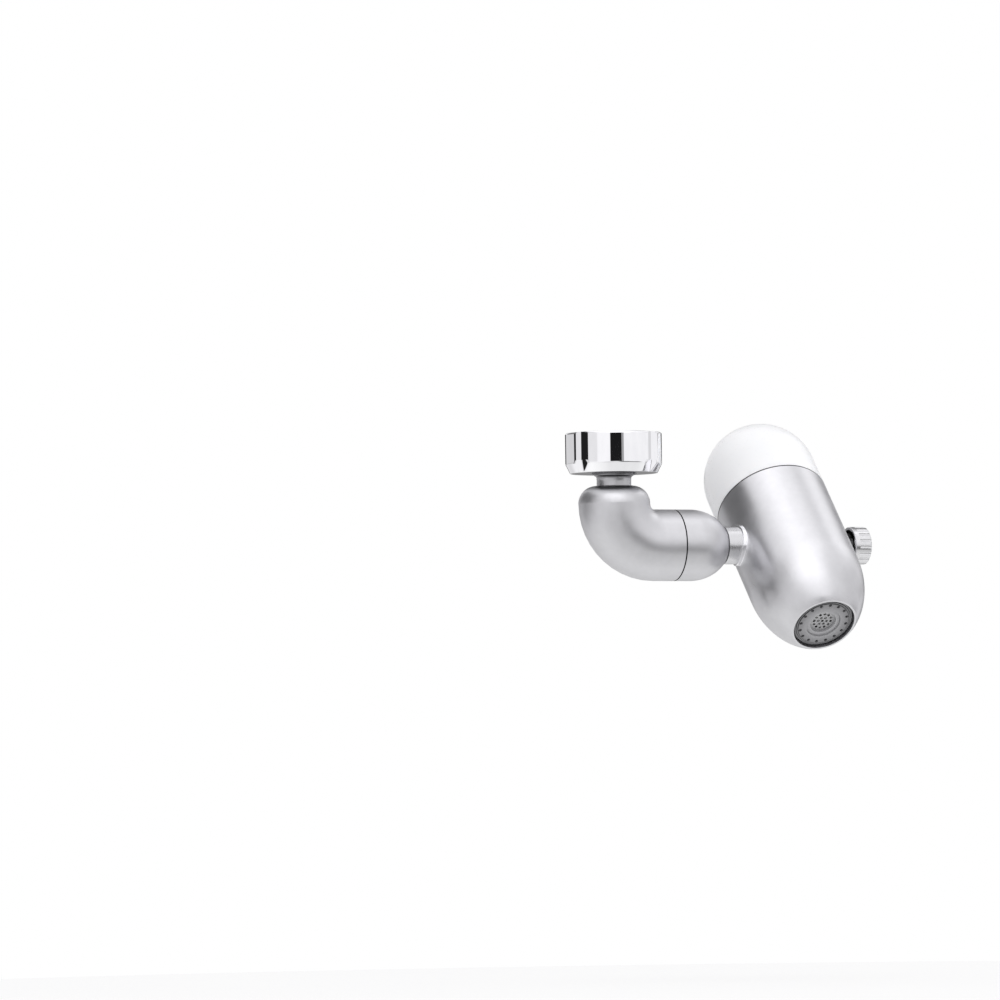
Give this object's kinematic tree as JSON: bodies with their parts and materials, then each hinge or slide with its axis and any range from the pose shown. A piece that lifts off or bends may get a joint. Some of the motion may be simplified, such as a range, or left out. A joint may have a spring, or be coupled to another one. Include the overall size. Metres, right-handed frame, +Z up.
{
  "type": "swivel faucet aerator",
  "caption": "Faucet aerator on two swivels: a threaded collar, a satin elbow, and a capsule spray head with a dome cap, a recessed outlet and a side knob.",
  "frame": {"origin": "centre of the threaded collar's mouth, on the thread's axis", "axes": "+Z up out of the mouth along the thread's axis; +X along the elbow's arm towards the head and knob; the head tilts towards -Y"},
  "size_m": [0.0937, 0.067, 0.0677],
  "materials": {
    "chrome": "polished chrome plate",
    "satin_silver": "satin pearl silver",
    "bright_steel": "polished steel",
    "milky_white": "glossy milky white",
    "knob_silver": "turned and knurled, satin",
    "seal_rubber": "matt black",
    "spring_steel": "plain",
    "mesh_steel": "woven wire",
    "insert_grey": "moulded, fine matt",
    "valve_white": "moulded",
    "gland_black": "moulded"
  },
  "bodies": {
    "collar": {"threaded_collar": "chrome", "inlet_washer": "seal_rubber", "inlet_screen": "mesh_steel", "upper_o_ring_top": "seal_rubber", "upper_o_ring_bottom": "seal_rubber", "upper_snap_ring": "spring_steel"},
    "arm": {"elbow": "satin_silver", "arm_end_cap": "satin_silver", "seam_gasket": "seal_rubber"},
    "head": {"side_stem": "bright_steel", "side_o_ring_inner": "seal_rubber", "side_o_ring_outer": "seal_rubber", "side_snap_ring": "spring_steel", "head_shell": "satin_silver", "dome_cap": "milky_white", "dome_o_ring": "seal_rubber", "valve_housing": "valve_white", "gland_nut": "gland_black", "outlet_gasket": "seal_rubber", "spray_plate": "insert_grey", "bubbler_sleeve": "insert_grey", "mesh_outer": "mesh_steel", "mesh_inner": "mesh_steel", "flow_regulator": "valve_white"},
    "valve": {"valve_rotor": "valve_white", "valve_spindle": "bright_steel", "spindle_o_ring": "seal_rubber", "knob": "knob_silver", "knob_screw": "bright_steel"}
  },
  "joints": [
    {"name": "arm_swivel", "type": "hinge", "parent": "collar", "child": "arm", "pos_m": [0, 0, -0.01534], "axis": [0, 0, 1], "continuous": true},
    {"name": "head_swivel", "type": "hinge", "parent": "arm", "child": "head", "pos_m": [0.03375, 0, -0.03248], "axis": [1, 0, 0], "continuous": true},
    {"name": "knob_turn", "type": "hinge", "parent": "head", "child": "valve", "pos_m": [0.0554, 0, -0.03248], "axis": [1, 0, 0], "range_deg": [0, 90]}
  ]
}
